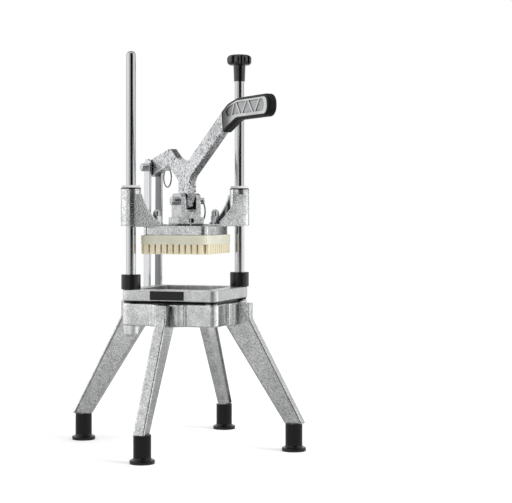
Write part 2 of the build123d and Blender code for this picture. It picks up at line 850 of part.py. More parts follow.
# Guide bushes in the bosses, each with a flange on top
with BuildPart() as guide_bushes:
    with BuildSketch(level(plate_top)):
        with Locations(*rod_spots):
            Circle(bush_diameter / 2)
    extrude(amount=boss_height)
    with BuildSketch(level(boss_top)):
        with Locations(*rod_spots):
            Circle(bush_flange_diameter / 2)
    extrude(amount=bush_flange_height)
    fillet(guide_bushes.edges().group_by(Axis.Z)[-1], bush_flange_round)
    with BuildSketch(level(plate_top)):
        with Locations(*rod_spots):
            Circle(rod_diameter / 2 + rod_fit)
    extrude(amount=boss_height + bush_flange_height, mode=Mode.SUBTRACT)
guide_bushes.part.label = "guide_bushes"
export_step(guide_bushes.part, "parts/guide_bushes.step")

# Clevis
ear_top = clevis_pin_z + ear_crown
with BuildPart() as clevis:
    with BuildSketch(level(arm_floor_top)):
        Rectangle(clevis_plate_length, clevis_plate_width, rotation=-diagonal_angle)
    extrude(amount=clevis_plate_height)
    with BuildSketch(lever_side(ear_outer)):
        with BuildLine():
            FilletPolyline(
                (-ear_width / 2, arm_floor_top),
                (-ear_width / 2, ear_top),
                (ear_width / 2, ear_top),
                (ear_width / 2, arm_floor_top),
                radius=[0, ear_crown_round, ear_crown_round, 0],
                close=True,
            )
        make_face()
    extrude(amount=2 * ear_outer)
    with BuildSketch(lever_side(ear_gap / 2)):
        with Locations((0, clevis_slot_z + clevis_pin_height / 2)):
            Rectangle(ear_width + cut_overrun, clevis_pin_height)
    extrude(amount=ear_gap, mode=Mode.SUBTRACT)
    with BuildSketch(lever_side(ear_outer + cut_overrun)):
        with Locations((0, clevis_pin_z)):
            Circle(pin_diameter / 2 + pin_fit)
    extrude(amount=2 * ear_outer + 2 * cut_overrun, mode=Mode.SUBTRACT)
    with BuildSketch(arm_side(clevis_plate_length / 2)):
        with Locations((0, arm_floor_top + clevis_plate_height / 2)):
            Rectangle(clevis_notch_width, clevis_notch_height)
    extrude(amount=-clevis_notch_depth, mode=Mode.SUBTRACT)
    with BuildSketch(level(arm_floor_top)):
        with Locations(*clevis_screw_spots):
            Circle(clevis_screw_diameter / 2 + thread_clearance)
    extrude(amount=clevis_screw_bite + thread_clearance, mode=Mode.SUBTRACT)
clevis.part.label = "clevis"
export_step(clevis.part, "parts/clevis.step")

with BuildPart() as clevis_screws:
    with BuildSketch(level(pusher_top)):
        with Locations(*clevis_screw_spots):
            Circle(clevis_screw_diameter / 2)
    extrude(amount=plate_thickness + arm_floor + clevis_screw_bite)
    with BuildSketch(level(pusher_top)):
        with Locations(*clevis_screw_spots):
            Circle(clevis_screw_head_diameter / 2)
    extrude(amount=clevis_screw_head_height)
clevis_screws.part.label = "clevis_screws"
export_step(clevis_screws.part, "parts/clevis_screws.step")

# Hinge pins, each with a head at the guide rod's side and a pull ring at the other
pin_seats = (
    ("clevis_pin", (0, clevis_pin_z), ear_outer, clevis_ring_reach),
    ("rear_pin", (-rear_pin_back, rear_pin_z), link_outer, rear_ring_reach),
)
for pin_name, centre, outer, ring_reach in pin_seats:
    with BuildPart() as hinge_pin:
        with BuildSketch(lever_side(-outer)):
            with Locations(centre):
                Circle(pin_head_diameter / 2)
        extrude(amount=pin_head_length)
        fillet(hinge_pin.edges().sort_by(Axis((0, 0, 0), (1, 1, 0)))[0], pin_head_round)
        with BuildSketch(lever_side(ring_reach + pin_end)):
            with Locations(centre):
                Circle(pin_diameter / 2)
        extrude(amount=ring_reach + pin_end + outer)
        with BuildSketch(arm_side(centre[0] - pin_diameter)):
            with Locations((ring_reach, centre[1])):
                Circle(ring_hole_diameter / 2)
        extrude(amount=2 * pin_diameter, mode=Mode.SUBTRACT)
    hinge_pin.part.label = pin_name
    export_step(hinge_pin.part, f"parts/{pin_name}.step")

    ring_middle = centre[1] - ring_sag - ring_diameter / 2
    ring_x = (centre[0] + ring_reach) / root_two
    ring_y = (ring_reach - centre[0]) / root_two
    with BuildPart() as pull_ring:
        with BuildSketch(arm_side(centre[0])):
            with Locations((ring_reach, centre[1] - ring_sag)):
                Circle(ring_wire_diameter / 2)
        revolve(axis=Axis((ring_x, ring_y, ring_middle), (1, 1, 0)))
    pull_ring.part.label = f"{pin_name}_ring"
    export_step(pull_ring.part, f"parts/{pin_name}_ring.step")

# Lever: one casting with the rear arm, the tongue in the clevis and the shaft
side_axis = Axis((0, 0, 0), (1, 1, 0))
with BuildPart() as lever:
    with BuildSketch(lever_side(lever_thickness / 2)):
        with BuildLine():
            FilletPolyline(*raised(lever_outline), radius=corner_rounds(lever_outline), close=True)
        make_face()
    extrude(amount=lever_thickness)
    lever_faces = lever.faces().sort_by(side_axis)
    fillet(lever_faces[0].edges() + lever_faces[-1].edges(), lever_edge_round)
    with BuildSketch(lever_side(tang_thickness / 2)):
        with BuildLine():
            Polyline(*raised(tang_outline), close=True)
        make_face()
    extrude(amount=tang_thickness)
    with BuildSketch(lever_side(lever_thickness / 2)):
        with Locations((0, clevis_pin_z), (-rear_pin_back, rear_pin_z)):
            Circle(pin_diameter / 2 + pin_fit)
    extrude(amount=lever_thickness, mode=Mode.SUBTRACT)
lever.part.label = "lever"
export_step(lever.part, "parts/lever.step")

# Grip
grip_seat = grip_thickness / 2 - inlay_seat
with BuildPart() as grip:
    with BuildSketch(lever_side(grip_thickness / 2)):
        with BuildLine():
            FilletPolyline(*raised(grip_outline), radius=corner_rounds(grip_outline), close=True)
        make_face()
    extrude(amount=grip_thickness)
    grip_faces = grip.faces().sort_by(side_axis)
    fillet(grip_faces[0].edges() + grip_faces[-1].edges(), grip_edge_round)
    with BuildSketch(lever_side(tang_thickness / 2 + tang_clearance)):
        with BuildLine():
            Polyline(*raised(tang_outline), close=True)
        make_face()
        offset(amount=tang_clearance, kind=Kind.INTERSECTION)
    extrude(amount=tang_thickness + 2 * tang_clearance, mode=Mode.SUBTRACT)
    for start in (grip_thickness / 2, -grip_seat):
        with BuildSketch(lever_side(start)):
            with BuildLine():
                FilletPolyline(*raised(inlay_outline), radius=corner_rounds(inlay_outline), close=True)
            make_face()
        extrude(amount=inlay_seat, mode=Mode.SUBTRACT)
grip.part.label = "grip"
export_step(grip.part, "parts/grip.step")

# Grip inlays, each a thin panel with pockets between zigzag ribs
with BuildPart() as grip_inlays:
    for way in (-1, 1):
        with BuildSketch(lever_side(way * grip_seat)):
            with BuildLine():
                FilletPolyline(*raised(inlay_outline), radius=corner_rounds(inlay_outline), close=True)
            make_face()
            offset(amount=-inlay_clearance)
        extrude(amount=-way * inlay_thickness)
        with BuildSketch(lever_side(way * (grip_seat + inlay_thickness))):
            with BuildLine():
                FilletPolyline(*raised(pocket_outline), radius=corner_rounds(pocket_outline), close=True)
            make_face()
            with BuildLine() as rib_path:
                Polyline(*raised(rib_line))
            trace(rib_path.edges(), line_width=rib_width, mode=Mode.SUBTRACT)
        extrude(amount=way * pocket_depth, mode=Mode.SUBTRACT)
grip_inlays.part.label = "grip_inlays"
export_step(grip_inlays.part, "parts/grip_inlays.step")

# Links
for link_name, start in (("link_left", -link_gap / 2), ("link_right", link_outer)):
    with BuildPart() as link:
        with BuildSketch(lever_side(start)):
            with Locations(link_middle):
                SlotCenterToCenter(link_length + link_top_overhang, link_width, rotation=link_lean)
            with Locations((-rear_pin_back, rear_pin_z), (-link_foot_back, link_foot_height)):
                Circle(pin_diameter / 2 + pin_fit, mode=Mode.SUBTRACT)
        extrude(amount=link_thickness)
        link_faces = link.faces().sort_by(side_axis)
        fillet(link_faces[0].outer_wire().edges() + link_faces[-1].outer_wire().edges(), link_edge_round)
    link.part.label = link_name
    export_step(link.part, f"parts/{link_name}.step")

# Bolt and nut at the links' lower ends
link_foot = (-link_foot_back, link_foot_height)
with BuildPart() as link_bolt:
    with BuildSketch(lever_side(-link_outer)):
        with Locations(link_foot):
            RegularPolygon(link_bolt_head_flats / 2, 6, major_radius=False)
    extrude(amount=link_bolt_head_height)
    chamfer(link_bolt.faces().sort_by(side_axis)[0].edges(), nut_corner_bevel)
    bolt_end = link_outer + link_nut_height + link_bolt_stub
    with BuildSketch(lever_side(bolt_end)):
        with Locations(link_foot):
            Circle(pin_diameter / 2)
    extrude(amount=bolt_end + link_outer)
link_bolt.part.label = "link_bolt"
export_step(link_bolt.part, "parts/link_bolt.step")

with BuildPart() as link_nut:
    with BuildSketch(lever_side(link_outer + link_nut_height)):
        with Locations(link_foot):
            RegularPolygon(link_bolt_head_flats / 2, 6, major_radius=False)
            Circle(pin_diameter / 2 + thread_clearance, mode=Mode.SUBTRACT)
    extrude(amount=link_nut_height)
    chamfer(link_nut.faces().sort_by(side_axis)[-1].outer_wire().edges(), nut_corner_bevel)
link_nut.part.label = "link_nut"
export_step(link_nut.part, "parts/link_nut.step")
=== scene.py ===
import math

import bpy
import numpy as np
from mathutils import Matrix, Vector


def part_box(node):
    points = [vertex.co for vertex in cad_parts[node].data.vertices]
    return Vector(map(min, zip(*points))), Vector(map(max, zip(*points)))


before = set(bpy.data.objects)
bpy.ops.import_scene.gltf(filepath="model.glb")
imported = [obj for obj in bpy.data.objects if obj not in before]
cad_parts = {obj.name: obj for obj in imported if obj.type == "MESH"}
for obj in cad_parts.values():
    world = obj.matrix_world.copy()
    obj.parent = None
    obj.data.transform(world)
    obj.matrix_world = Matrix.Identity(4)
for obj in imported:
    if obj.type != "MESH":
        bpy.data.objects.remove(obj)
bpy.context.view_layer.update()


# Feet: four moulded rubber posts with a flared rim, pushed over the spigots of the legs.
# Moulded rubber is a deep black with a fine skin and a low sheen, clouded by hand marks.
def linear(code):
    """An sRGB hex colour as linear RGBA, by the sRGB curve."""
    srgb = np.array([int(code[i:i + 2], 16) for i in (1, 3, 5)]) / 255.0
    rgb = np.where(srgb <= 0.04045, srgb / 12.92, ((srgb + 0.055) / 1.055) ** 2.4)
    return (*rgb.tolist(), 1.0)


def add(owner, kind, sockets=None, stops=None, **settings):
    """Adds one node with its settings to a material or the world, fills or links its sockets,
    and sets a ramp's stops."""
    tree = owner.node_tree
    node = tree.nodes.new(kind)
    for name, value in settings.items():
        setattr(node, name, value)
    for name, value in (sockets or {}).items():
        if isinstance(value, bpy.types.NodeSocket):
            tree.links.new(value, node.inputs[name])
        else:
            node.inputs[name].default_value = value
    if stops:
        ramp = node.color_ramp.elements
        while len(ramp) < len(stops):
            ramp.new(0.5)
        for element, (place, code) in zip(ramp, stops):
            element.position = place
            element.color = linear(code)
    return node


def new_material(name):
    """A node material with no nodes in it yet."""
    material = bpy.data.materials.new(name)
    material.use_nodes = True
    material.node_tree.nodes.clear()
    return material


def coat(material, *names):
    """Gives solids of the frame this material."""
    for name in names:
        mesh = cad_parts[name].data
        mesh.materials.clear()
        mesh.materials.append(material)


rubber = new_material("moulded_black_rubber")
spot = add(rubber, "ShaderNodeTexCoord").outputs["Object"]
# A skin grain of 0.7 mm, and hand marks of 9 mm.
skin_grain = 0.0007
hand_mark = 0.009
skin = add(rubber, "ShaderNodeTexNoise", {
    "Vector": spot, "Scale": 1 / skin_grain, "Detail": 2.0}).outputs["Fac"]
marks = add(rubber, "ShaderNodeTexNoise", {
    "Vector": spot, "Scale": 1 / hand_mark, "Detail": 3.0}).outputs["Fac"]
tint = add(rubber, "ShaderNodeValToRGB", {"Fac": marks},
           stops=[(0.3, "#030304"), (0.75, "#080809")])
gloss = add(rubber, "ShaderNodeMapRange", {
    "Value": marks, "From Min": 0.3, "From Max": 0.7, "To Min": 0.14, "To Max": 0.24})
relief = add(rubber, "ShaderNodeBump", {"Height": skin, "Strength": 0.12, "Distance": 0.0002})
surface = add(rubber, "ShaderNodeBsdfPrincipled", {
    "Base Color": tint.outputs["Color"], "Roughness": gloss.outputs["Result"],
    "Specular IOR Level": 0.36, "Normal": relief.outputs["Normal"]})
add(rubber, "ShaderNodeOutputMaterial", {"Surface": surface.outputs["BSDF"]})
coat(rubber, "foot_front", "foot_right", "foot_back", "foot_left")


# Legs: sand-cast aluminium bars with a T section, tumbled bright after casting.
# The skin keeps the grain of the sand, so each grain throws the light another way: it is
# quiet where the surround is even, and it sparkles where light and dark meet.
under = 6  # the Mix node's first colour socket, which goes by number
over = 7  # its second colour socket
mixed = 2  # its colour result


def cast_metal(name, grain_width, specks, depth, shade_reach, shade_height=None):
    """Cast aluminium with sand grains of this width, shades and depth, corners darkened by painted
    shade out to a reach, and a band of painted shade above a height where one is given."""
    metal = new_material(name)
    spot = add(metal, "ShaderNodeTexCoord").outputs["Object"]
    grain = add(metal, "ShaderNodeTexVoronoi", {"Vector": spot, "Scale": 1 / grain_width})
    sparkle = add(metal, "ShaderNodeValToRGB", {"Fac": grain.outputs["Color"]}, stops=specks)
    # The pour leaves a slow mottle of 13 mm.
    mottle_width = 0.013
    mottle = add(metal, "ShaderNodeTexNoise", {
        "Vector": spot, "Scale": 1 / mottle_width, "Detail": 2.0}).outputs["Fac"]
    cloud = add(metal, "ShaderNodeValToRGB", {"Fac": mottle},
                stops=[(0.35, "#e8e9ea"), (0.65, "#ffffff")])
    # Painted shade darkens the corners, out to the reach.
    reach = add(metal, "ShaderNodeAmbientOcclusion", {"Distance": shade_reach}, samples=6)
    painted_corner_shade = add(metal, "ShaderNodeValToRGB", {"Fac": reach.outputs["AO"]},
               stops=[(0.25, "#262728"), (0.65, "#ffffff")])
    layers = [cloud, painted_corner_shade]
    # Above the height, painted shade darkens a band.
    if shade_height is not None:
        shade_edge = 0.0005
        height = add(metal, "ShaderNodeSeparateXYZ", {"Vector": spot}).outputs["Z"]
        above = add(metal, "ShaderNodeMapRange", {
            "Value": height, "From Min": shade_height, "From Max": shade_height + shade_edge})
        painted_shade = add(metal, "ShaderNodeValToRGB", {"Fac": above.outputs["Result"]},
                    stops=[(0.0, "#ffffff"), (1.0, "#3a3a3b")])
        layers.append(painted_shade)
    shade = sparkle.outputs["Color"]
    for layer in layers:
        darkened = add(metal, "ShaderNodeMix", {
            "Factor": 1.0, under: shade, over: layer.outputs["Color"]},
            data_type="RGBA", blend_type="MULTIPLY")
        shade = darkened.outputs[mixed]
    gloss = add(metal, "ShaderNodeMapRange", {
        "Value": mottle, "From Min": 0.35, "From Max": 0.65, "To Min": 0.22, "To Max": 0.14})
    # Finishing breaks every edge to about 1.4 mm.
    broken_edge = 0.0014
    edge = add(metal, "ShaderNodeBevel", {"Radius": broken_edge}, samples=4).outputs["Normal"]
    relief = add(metal, "ShaderNodeBump", {
        "Height": grain.outputs["Distance"], "Strength": 0.3, "Distance": depth, "Normal": edge})
    surface = add(metal, "ShaderNodeBsdfPrincipled", {
        "Base Color": shade, "Metallic": 1.0, "Roughness": gloss.outputs["Result"],
        "Normal": relief.outputs["Normal"]})
    add(metal, "ShaderNodeOutputMaterial", {"Surface": surface.outputs["BSDF"]})
    return metal


# The true sand grain of 0.4 mm is too fine to show, so it is drawn at 1.2 mm.
sand_grain = 0.0012
leg_cast = cast_metal(
    "tumbled_cast_aluminium", grain_width=sand_grain, depth=0.00025, shade_reach=0.008,
    specks=[(0.15, "#aeafb0"), (0.5, "#c9caca"), (0.85, "#e4e4e4")])
coat(leg_cast, "leg_front", "leg_right", "leg_back", "leg_left")


# Leg bolts: zinc-plated steel hexagon bolts, turned in from inside the base opening.
# Zinc plate is a cool grey with a faint cloud and a low shine.
zinc = new_material("zinc_plated_steel")
spot = add(zinc, "ShaderNodeTexCoord").outputs["Object"]
# A crystal cloud of 3 mm.
crystal = 0.003
cloud = add(zinc, "ShaderNodeTexNoise", {
    "Vector": spot, "Scale": 1 / crystal, "Detail": 4.0}).outputs["Fac"]
tint = add(zinc, "ShaderNodeValToRGB", {"Fac": cloud},
           stops=[(0.35, "#a9acae"), (0.65, "#c6c9cb")])
gloss = add(zinc, "ShaderNodeMapRange", {
    "Value": cloud, "From Min": 0.3, "From Max": 0.7, "To Min": 0.25, "To Max": 0.4})
surface = add(zinc, "ShaderNodeBsdfPrincipled", {
    "Base Color": tint.outputs["Color"], "Metallic": 1.0, "Roughness": gloss.outputs["Result"]})
add(zinc, "ShaderNodeOutputMaterial", {"Surface": surface.outputs["BSDF"]})
coat(zinc, "leg_bolts")


# Base: one open square sand casting, with a stepped socket for each leg and a lug at the
# back left corner for the link bars. Blasting evens its grain. Painted shade darkens its corners
# for about 12 mm, and the lip of 3.1 mm below the frame, where the gap under the frame is in shade.
shaded_lip = 0.0031
base_cast = cast_metal(
    "blasted_cast_aluminium", grain_width=sand_grain, depth=0.00025, shade_reach=0.012,
    specks=[(0.15, "#cdcece"), (0.5, "#dedfdf"), (0.85, "#eeeeee")],
    shade_height=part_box("base_casting")[1].z - shaded_lip)
coat(base_cast, "base_casting")


# Blade frame: an aluminium casting linished flat on its faces, so its grain is softer than
# that of the stand, and its shine is duller and more even.
linished = new_material("linished_aluminium")
spot = add(linished, "ShaderNodeTexCoord").outputs["Object"]
# The true grain of 0.2 mm is too fine to show, so it is drawn at 1.2 mm. A slow cloud is 20 mm.
belt_grain = 0.0012
slow_cloud = 0.02
grain = add(linished, "ShaderNodeTexNoise", {
    "Vector": spot, "Scale": 1 / belt_grain, "Detail": 2.0, "Roughness": 0.6}).outputs["Fac"]
mottle = add(linished, "ShaderNodeTexNoise", {
    "Vector": spot, "Scale": 1 / slow_cloud, "Detail": 2.0}).outputs["Fac"]
sparkle = add(linished, "ShaderNodeValToRGB", {"Fac": grain},
              stops=[(0.36, "#b4b5b6"), (0.5, "#d0d1d1"), (0.64, "#eaeaea")])
cloud = add(linished, "ShaderNodeValToRGB", {"Fac": mottle},
            stops=[(0.3, "#e6e7e8"), (0.7, "#ffffff")])
shade = add(linished, "ShaderNodeMix", {
    "Factor": 1.0, under: sparkle.outputs["Color"], over: cloud.outputs["Color"]},
    data_type="RGBA", blend_type="MULTIPLY")
# The belt rolls the edges over by about 0.8 mm.
rolled_edge = 0.0008
edge = add(linished, "ShaderNodeBevel", {"Radius": rolled_edge}, samples=4).outputs["Normal"]
relief = add(linished, "ShaderNodeBump", {
    "Height": grain, "Strength": 0.25, "Distance": 0.0003, "Normal": edge})
surface = add(linished, "ShaderNodeBsdfPrincipled", {
    "Base Color": shade.outputs[mixed], "Metallic": 1.0, "Roughness": 0.33,
    "Normal": relief.outputs["Normal"]})
add(linished, "ShaderNodeOutputMaterial", {"Surface": surface.outputs["BSDF"]})
coat(linished, "blade_frame")


# Blades: two crossed rows of ground stainless strip, anchored in the frame's walls.
# Grinding leaves fine lines along each strip and a clean, bright edge.
blade = new_material("ground_stainless_steel")
spot = add(blade, "ShaderNodeTexCoord").outputs["Object"]
# Grinding lines 0.5 mm apart up the strip and 20 mm long.
line_spacing = 0.0005
line_length = 0.02
turned = add(blade, "ShaderNodeMapping", {
    "Vector": spot, "Scale": (1 / line_length, 1 / line_length, 1 / line_spacing)})
lines = add(blade, "ShaderNodeTexNoise", {
    "Vector": turned.outputs["Vector"], "Scale": 1.0, "Detail": 2.0}).outputs["Fac"]
tint = add(blade, "ShaderNodeValToRGB", {"Fac": lines},
           stops=[(0.35, "#b4b7ba"), (0.65, "#d9dbdd")])
surface = add(blade, "ShaderNodeBsdfPrincipled", {
    "Base Color": tint.outputs["Color"], "Metallic": 1.0, "Roughness": 0.24})
add(blade, "ShaderNodeOutputMaterial", {"Surface": surface.outputs["BSDF"]})
coat(blade, "blades_lower", "blades_upper")


# Frame screws: two slotted screws that hold the frame to the base, sunk flush in its free
# corners. They are plated as the leg bolts are.
coat(zinc, "frame_screws")


# Label plate: a thin bare plate of glossy black ABS, bonded to the front of the frame.
# Bare ABS sheet shows only a faint ripple in its shine.
label = new_material("glossy_black_abs")
spot = add(label, "ShaderNodeTexCoord").outputs["Object"]
# A ripple of 6 mm.
ripple_width = 0.006
ripple = add(label, "ShaderNodeTexNoise", {
    "Vector": spot, "Scale": 1 / ripple_width, "Detail": 1.0}).outputs["Fac"]
tint = add(label, "ShaderNodeValToRGB", {"Fac": ripple},
           stops=[(0.3, "#0b0b0c"), (0.7, "#131314")])
gloss = add(label, "ShaderNodeMapRange", {
    "Value": ripple, "From Min": 0.3, "From Max": 0.7, "To Min": 0.3, "To Max": 0.42})
surface = add(label, "ShaderNodeBsdfPrincipled", {
    "Base Color": tint.outputs["Color"], "Roughness": gloss.outputs["Result"],
    "Specular IOR Level": 0.35})
add(label, "ShaderNodeOutputMaterial", {"Surface": surface.outputs["BSDF"]})
coat(label, "label_plate")


# Guide rod: a ground and chromed steel bar with a domed end, held by a round nut below the
# base. Hard chrome is nearly a mirror, with a trace of draw lines along the bar.
chrome = new_material("hard_chromed_steel")
spot = add(chrome, "ShaderNodeTexCoord").outputs["Object"]
# Draw lines 0.6 mm wide and 80 mm long.
line_width = 0.0006
line_length = 0.08
turned = add(chrome, "ShaderNodeMapping", {
    "Vector": spot, "Scale": (1 / line_width, 1 / line_width, 1 / line_length)})
lines = add(chrome, "ShaderNodeTexNoise", {
    "Vector": turned.outputs["Vector"], "Scale": 1.0, "Detail": 2.0}).outputs["Fac"]
tint = add(chrome, "ShaderNodeValToRGB", {"Fac": lines},
           stops=[(0.3, "#a2a4a6"), (0.7, "#b9babb")])
gloss = add(chrome, "ShaderNodeMapRange", {
    "Value": lines, "From Min": 0.3, "From Max": 0.7, "To Min": 0.1, "To Max": 0.17})
surface = add(chrome, "ShaderNodeBsdfPrincipled", {
    "Base Color": tint.outputs["Color"], "Metallic": 1.0, "Roughness": gloss.outputs["Result"]})
add(chrome, "ShaderNodeOutputMaterial", {"Surface": surface.outputs["BSDF"]})
coat(chrome, "guide_rod")


# Guide rod nut: a round nut turned from steel bar and nickel plated, which pulls the rod down
# on the base. Bright nickel is paler than the chrome, with a trace of the turning, and painted
# shade darkens the corner that the nut makes with the base.
nickel = new_material("bright_nickelled_steel")
spot = add(nickel, "ShaderNodeTexCoord").outputs["Object"]
# Turning rings 0.5 mm apart, each even over 10 mm of the way round.
ring_spacing = 0.0005
ring_run = 0.01
turned = add(nickel, "ShaderNodeMapping", {
    "Vector": spot, "Scale": (1 / ring_run, 1 / ring_run, 1 / ring_spacing)})
rings = add(nickel, "ShaderNodeTexNoise", {
    "Vector": turned.outputs["Vector"], "Scale": 1.0, "Detail": 1.0}).outputs["Fac"]
tint = add(nickel, "ShaderNodeValToRGB", {"Fac": rings},
           stops=[(0.3, "#d6d7d8"), (0.7, "#e8e8e9")])
# The painted shade reaches about 5 mm out of the corner.
nut_shade_reach = 0.005
reach = add(nickel, "ShaderNodeAmbientOcclusion", {"Distance": nut_shade_reach}, samples=6)
nut_shade = add(nickel, "ShaderNodeValToRGB", {"Fac": reach.outputs["AO"]},
           stops=[(0.35, "#262728"), (0.75, "#ffffff")])
shade = add(nickel, "ShaderNodeMix", {
    "Factor": 1.0, under: tint.outputs["Color"], over: nut_shade.outputs["Color"]},
    data_type="RGBA", blend_type="MULTIPLY")
gloss = add(nickel, "ShaderNodeMapRange", {
    "Value": rings, "From Min": 0.3, "From Max": 0.7, "To Min": 0.1, "To Max": 0.16})
surface = add(nickel, "ShaderNodeBsdfPrincipled", {
    "Base Color": shade.outputs[mixed], "Metallic": 1.0, "Roughness": gloss.outputs["Result"]})
add(nickel, "ShaderNodeOutputMaterial", {"Surface": surface.outputs["BSDF"]})
coat(nickel, "guide_rod_nut")


# Collars: two thick bumpers round the rods, which rest on the frame and stop the head. They
# are pressed on, and moulded from the same rubber as the feet.
coat(rubber, "collar_left", "collar_right")


# Lock rod: a second chromed bar with a lobed knob of moulded black plastic on its top.
# Moulded nylon has a soft gloss with fine orange peel, so its lobes carry soft lights.
coat(chrome, "lock_rod")
nylon = new_material("moulded_black_nylon")
spot = add(nylon, "ShaderNodeTexCoord").outputs["Object"]
# Orange peel of 1.6 mm.
peel_width = 0.0016
peel = add(nylon, "ShaderNodeTexNoise", {
    "Vector": spot, "Scale": 1 / peel_width, "Detail": 2.0}).outputs["Fac"]
tint = add(nylon, "ShaderNodeValToRGB", {"Fac": peel},
           stops=[(0.3, "#060607"), (0.7, "#0c0c0d")])
gloss = add(nylon, "ShaderNodeMapRange", {
    "Value": peel, "From Min": 0.3, "From Max": 0.7, "To Min": 0.12, "To Max": 0.2})
relief = add(nylon, "ShaderNodeBump", {"Height": peel, "Strength": 0.3, "Distance": 0.0003})
surface = add(nylon, "ShaderNodeBsdfPrincipled", {
    "Base Color": tint.outputs["Color"], "Roughness": gloss.outputs["Result"],
    "Specular IOR Level": 0.65, "Normal": relief.outputs["Normal"]})
add(nylon, "ShaderNodeOutputMaterial", {"Surface": surface.outputs["BSDF"]})
coat(nylon, "lock_knob")


# Pusher: one moulded block of ivory polypropylene with a grid of square fingers.
# The plastic is a little translucent, and its thin fingers are yellower than the block.
ivory = new_material("ivory_polypropylene")
spot = add(ivory, "ShaderNodeTexCoord").outputs["Object"]
# A slow colour drift of 18 mm, and a moulded skin of 2 mm.
drift_width = 0.018
skin_width = 0.002
drift = add(ivory, "ShaderNodeTexNoise", {
    "Vector": spot, "Scale": 1 / drift_width, "Detail": 2.0}).outputs["Fac"]
skin = add(ivory, "ShaderNodeTexNoise", {
    "Vector": spot, "Scale": 1 / skin_width, "Detail": 2.0}).outputs["Fac"]
# The fingers meet the block 11.8 mm above their tips, and the colour turns over 2 mm there.
tip_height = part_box("pusher_block")[0].z
turn_start = tip_height + 0.0105
turn_end = tip_height + 0.0125
height = add(ivory, "ShaderNodeSeparateXYZ", {"Vector": spot}).outputs["Z"]
finger = add(ivory, "ShaderNodeMapRange", {
    "Value": height, "From Min": turn_start, "From Max": turn_end, "To Min": 1.0, "To Max": 0.0})
block = add(ivory, "ShaderNodeValToRGB", {"Fac": drift},
            stops=[(0.3, "#c6c5b3"), (0.7, "#d0cfbf")])
tips = add(ivory, "ShaderNodeValToRGB", {"Fac": drift},
           stops=[(0.3, "#d4c8aa"), (0.7, "#ded3ba")])
tint = add(ivory, "ShaderNodeMix", {
    "Factor": finger.outputs["Result"], under: block.outputs["Color"], over: tips.outputs["Color"]},
    data_type="RGBA")
relief = add(ivory, "ShaderNodeBump", {"Height": skin, "Strength": 0.12, "Distance": 0.0002})
surface = add(ivory, "ShaderNodeBsdfPrincipled", {
    "Base Color": tint.outputs[mixed], "Roughness": 0.42, "Normal": relief.outputs["Normal"],
    "Subsurface Weight": 0.6, "Subsurface Scale": 0.008, "Subsurface Radius": (1.0, 0.75, 0.45)})
add(ivory, "ShaderNodeOutputMaterial", {"Surface": surface.outputs["BSDF"]})
coat(ivory, "pusher_block")


# Head: the plate over the pusher, with two channelled arms that sweep up to the bosses on
# the rods, all one sand casting, greyer than the base. Flanged bushes of natural acetal line
# the bosses; turning leaves fine rings in their milky white.
flange_shadow_band = 0.0018  # painted shadow of the bush flanges darkens the bosses' tops
head_cast = cast_metal(
    "sand_cast_aluminium", grain_width=sand_grain, depth=0.0002, shade_reach=0.007,
    specks=[(0.15, "#a8a9aa"), (0.5, "#c6c7c7"), (0.85, "#e2e2e2")],
    shade_height=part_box("head_casting")[1].z - flange_shadow_band)
coat(head_cast, "head_casting")
acetal = new_material("turned_natural_acetal")
spot = add(acetal, "ShaderNodeTexCoord").outputs["Object"]
# Turning rings 0.4 mm apart, each even over 10 mm of the way round.
ring_spacing = 0.0004
ring_run = 0.01
turned = add(acetal, "ShaderNodeMapping", {
    "Vector": spot, "Scale": (1 / ring_run, 1 / ring_run, 1 / ring_spacing)})
rings = add(acetal, "ShaderNodeTexNoise", {
    "Vector": turned.outputs["Vector"], "Scale": 1.0, "Detail": 1.0}).outputs["Fac"]
tint = add(acetal, "ShaderNodeValToRGB", {"Fac": rings},
           stops=[(0.3, "#c9c9c6"), (0.7, "#dcdcd9")])
surface = add(acetal, "ShaderNodeBsdfPrincipled", {
    "Base Color": tint.outputs["Color"], "Roughness": 0.4})
add(acetal, "ShaderNodeOutputMaterial", {"Surface": surface.outputs["BSDF"]})
coat(acetal, "guide_bushes")


# Pusher fastenings: two plated studs moulded into the block, with washers and domed cap
# nuts of buffed steel on top of the head, bright and slightly clouded.
coat(zinc, "pusher_studs")
bright = new_material("buffed_steel")
spot = add(bright, "ShaderNodeTexCoord").outputs["Object"]
# A buffing cloud of 5 mm.
buff_cloud = 0.005
cloud = add(bright, "ShaderNodeTexNoise", {
    "Vector": spot, "Scale": 1 / buff_cloud, "Detail": 3.0}).outputs["Fac"]
tint = add(bright, "ShaderNodeValToRGB", {"Fac": cloud},
           stops=[(0.3, "#b5b7b9"), (0.7, "#cdcfd0")])
gloss = add(bright, "ShaderNodeMapRange", {
    "Value": cloud, "From Min": 0.3, "From Max": 0.7, "To Min": 0.2, "To Max": 0.3})
surface = add(bright, "ShaderNodeBsdfPrincipled", {
    "Base Color": tint.outputs["Color"], "Metallic": 1.0, "Roughness": gloss.outputs["Result"]})
add(bright, "ShaderNodeOutputMaterial", {"Surface": surface.outputs["BSDF"]})
coat(bright, "pusher_washers", "cap_nuts")


# Clevis: a small sand casting with two ears for the lever's pin, screwed to the head from
# below, in the same metal and grain as the head.
coat(head_cast, "clevis")
coat(zinc, "clevis_screws")


# Hinge pins: two turned steel pins with a head at one end, each with a pull ring of
# spring wire through its other end. Drawn wire is darker than the turned pins, with a
# fine oil bloom along it.
coat(bright, "clevis_pin", "rear_pin")
wire = new_material("drawn_spring_wire")
spot = add(wire, "ShaderNodeTexCoord").outputs["Object"]
